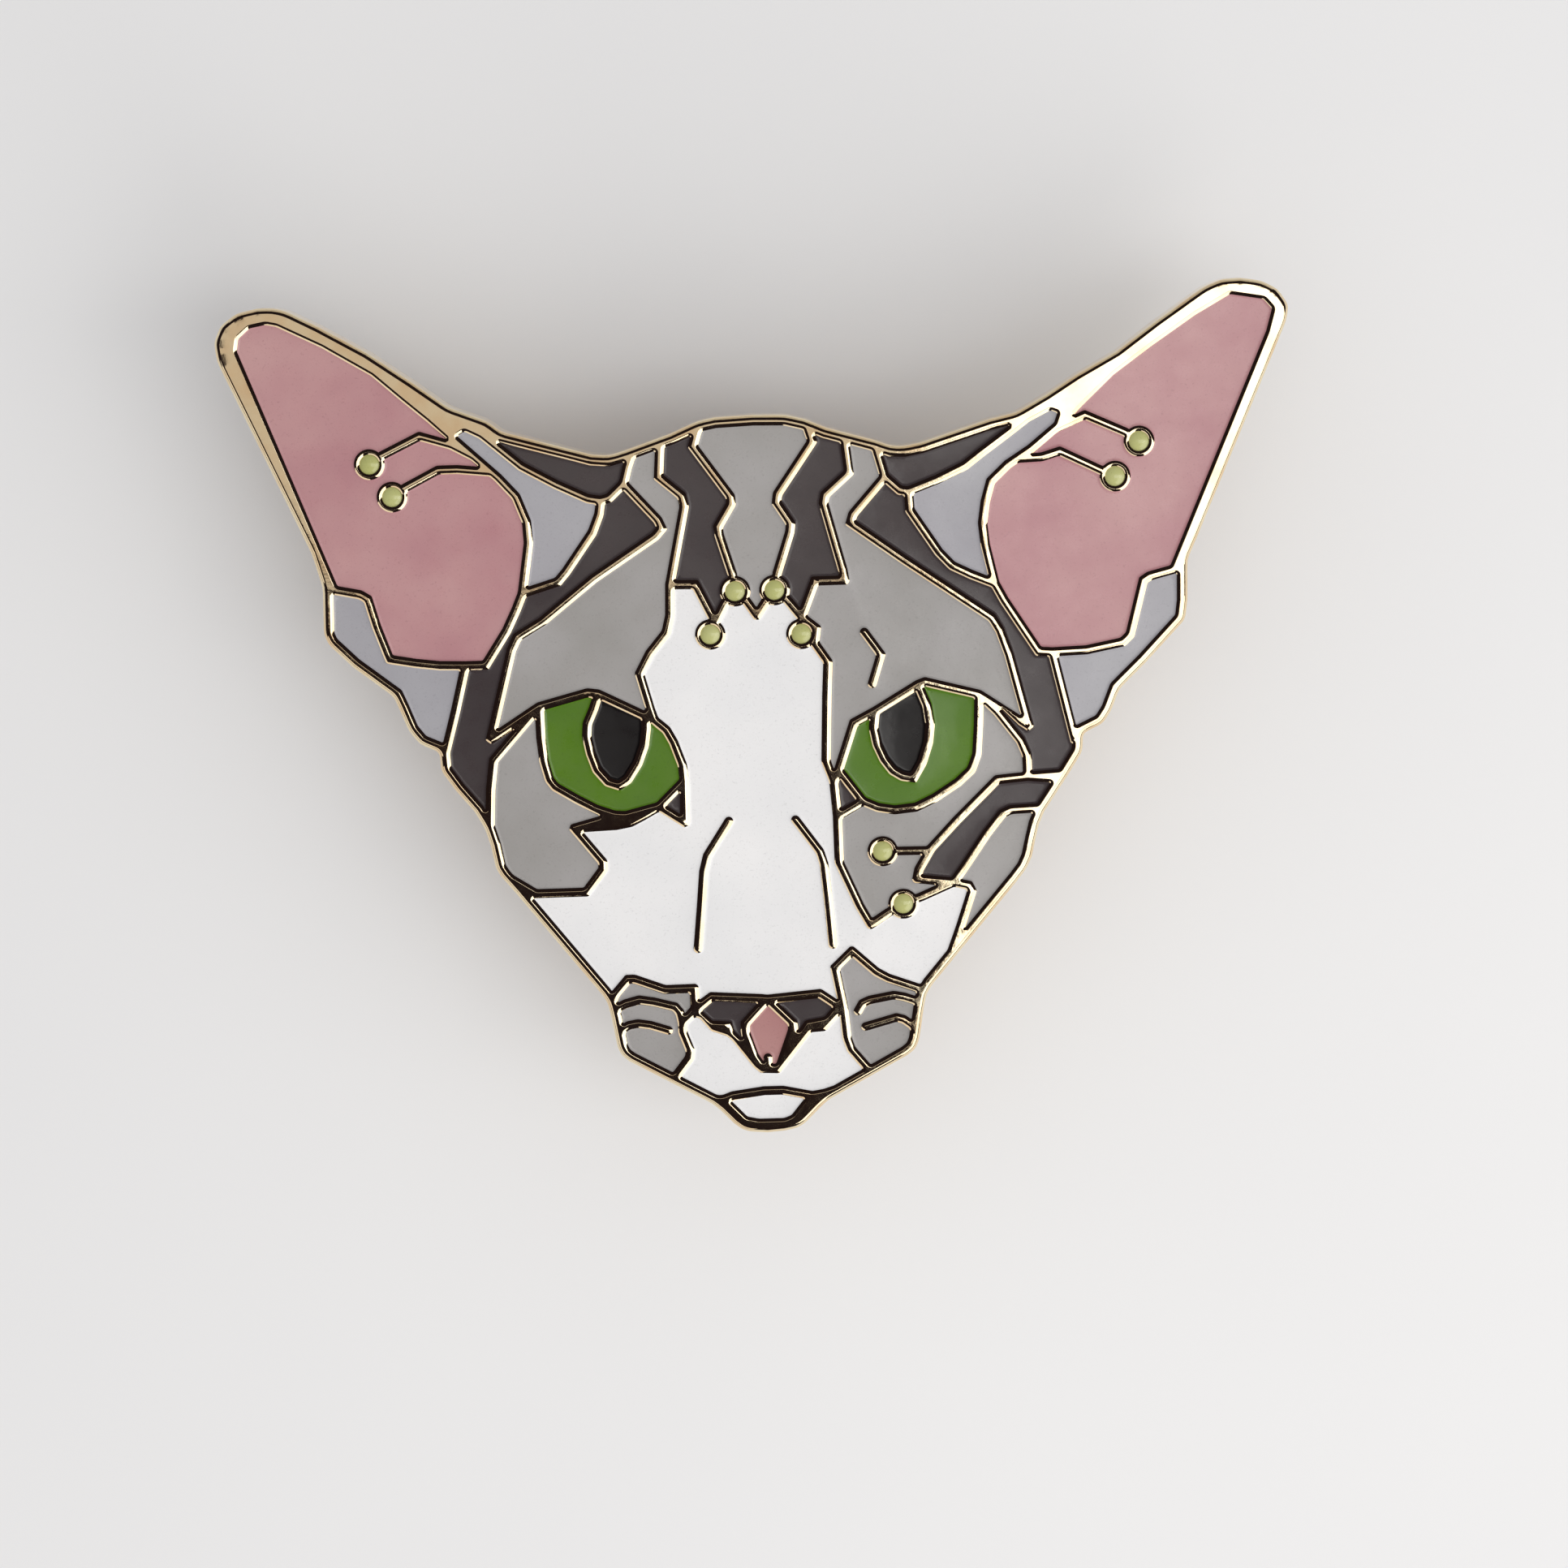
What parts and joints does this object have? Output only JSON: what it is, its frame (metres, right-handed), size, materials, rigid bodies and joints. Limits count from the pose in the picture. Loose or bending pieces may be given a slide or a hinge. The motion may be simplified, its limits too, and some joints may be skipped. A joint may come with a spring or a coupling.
{
  "type": "enamel pin",
  "caption": "Cat-face badge: a struck gold-plated plate with enamel-filled pockets, soldered posts and butterfly clutches that pull off, turn and squeeze.",
  "frame": {"origin": "below the middle of the face, on the plane that the clutch wings' tips rest on", "axes": "+Z out of the face, +Y up the face towards the ears, +X to the viewer's right"},
  "size_m": [0.05, 0.0398, 0.01],
  "materials": {
    "gold_plate": "polished pale gold plate",
    "post_gold": "drawn wire, pale gold plate",
    "clutch_gold": "pressed sheet, polished pale gold plate",
    "pink_enamel": "smooth glossy enamel",
    "nose_pink_enamel": "smooth glossy enamel",
    "grey_enamel": "smooth glossy enamel",
    "pale_grey_enamel": "smooth glossy enamel",
    "dark_grey_enamel": "smooth glossy enamel",
    "white_enamel": "smooth glossy enamel",
    "green_enamel": "smooth glossy enamel",
    "black_enamel": "smooth glossy enamel",
    "dot_enamel": "domed glossy enamel"
  },
  "bodies": {
    "pin": {"die": "gold_plate", "ear_left": "pink_enamel", "ear_right": "pink_enamel", "ear_fold_left": "pale_grey_enamel", "ear_fold_right": "pale_grey_enamel", "inner_ear_left": "pale_grey_enamel", "inner_ear_right": "pale_grey_enamel", "temple_left": "dark_grey_enamel", "temple_right": "dark_grey_enamel", "side_stripe_left": "dark_grey_enamel", "side_stripe_right": "dark_grey_enamel", "forehead_left": "grey_enamel", "forehead_right": "grey_enamel", "brow_stripe_left": "dark_grey_enamel", "brow_stripe_right": "dark_grey_enamel", "crown": "grey_enamel", "face": "white_enamel", "iris_left": "green_enamel", "iris_right": "green_enamel", "pupil_left": "black_enamel", "pupil_right": "black_enamel", "eye_corner_left": "dark_grey_enamel", "eye_corner_right": "dark_grey_enamel", "cheek_left": "grey_enamel", "cheek_right": "grey_enamel", "cheek_stripe": "dark_grey_enamel", "jaw_right": "grey_enamel", "muzzle_band": "grey_enamel", "muzzle_left": "grey_enamel", "muzzle_right": "grey_enamel", "nostril_left": "dark_grey_enamel", "nostril_right": "dark_grey_enamel", "nose": "nose_pink_enamel", "jowl": "white_enamel", "chin": "white_enamel", "ear_dots": "dot_enamel", "forehead_dots": "dot_enamel", "cheek_dots": "dot_enamel", "left_post": "post_gold", "right_post": "post_gold"},
    "left_disc": {"left_clutch_disc": "clutch_gold"},
    "left_cap": {"left_clutch_cap": "clutch_gold", "left_clutch_spring": "clutch_gold"},
    "left_wing_upper": {"left_wing_upper": "clutch_gold"},
    "left_wing_lower": {"left_wing_lower": "clutch_gold"},
    "right_disc": {"right_clutch_disc": "clutch_gold"},
    "right_cap": {"right_clutch_cap": "clutch_gold", "right_clutch_spring": "clutch_gold"},
    "right_wing_upper": {"right_wing_upper": "clutch_gold"},
    "right_wing_lower": {"right_wing_lower": "clutch_gold"}
  },
  "joints": [
    {"name": "left_clutch_pull", "type": "slide", "parent": "pin", "child": "left_disc", "axis": [0, 0, -1], "range_m": [-0.001, 0.0095]},
    {"name": "left_clutch_swivel", "type": "hinge", "parent": "left_disc", "child": "left_cap", "pos_m": [-0.01, 0.002, 0.006], "axis": [0, 0, 1], "continuous": true},
    {"name": "left_squeeze_upper", "type": "hinge", "parent": "left_cap", "child": "left_wing_upper", "pos_m": [-0.01, 0.00415, 0.00425], "axis": [-1, 0, 0], "range_deg": [0, 12], "stiffness_Nm_per_rad": 0.12},
    {"name": "left_squeeze_lower", "type": "hinge", "parent": "left_cap", "child": "left_wing_lower", "pos_m": [-0.01, -0.00015, 0.00425], "axis": [1, 0, 0], "range_deg": [0, 12], "stiffness_Nm_per_rad": 0.12},
    {"name": "right_clutch_pull", "type": "slide", "parent": "pin", "child": "right_disc", "axis": [0, 0, -1], "range_m": [-0.001, 0.0095]},
    {"name": "right_clutch_swivel", "type": "hinge", "parent": "right_disc", "child": "right_cap", "pos_m": [0.01, 0.002, 0.006], "axis": [0, 0, 1], "continuous": true},
    {"name": "right_squeeze_upper", "type": "hinge", "parent": "right_cap", "child": "right_wing_upper", "pos_m": [0.01, 0.00415, 0.00425], "axis": [-1, 0, 0], "range_deg": [0, 12], "stiffness_Nm_per_rad": 0.12},
    {"name": "right_squeeze_lower", "type": "hinge", "parent": "right_cap", "child": "right_wing_lower", "pos_m": [0.01, -0.00015, 0.00425], "axis": [1, 0, 0], "range_deg": [0, 12], "stiffness_Nm_per_rad": 0.12}
  ]
}
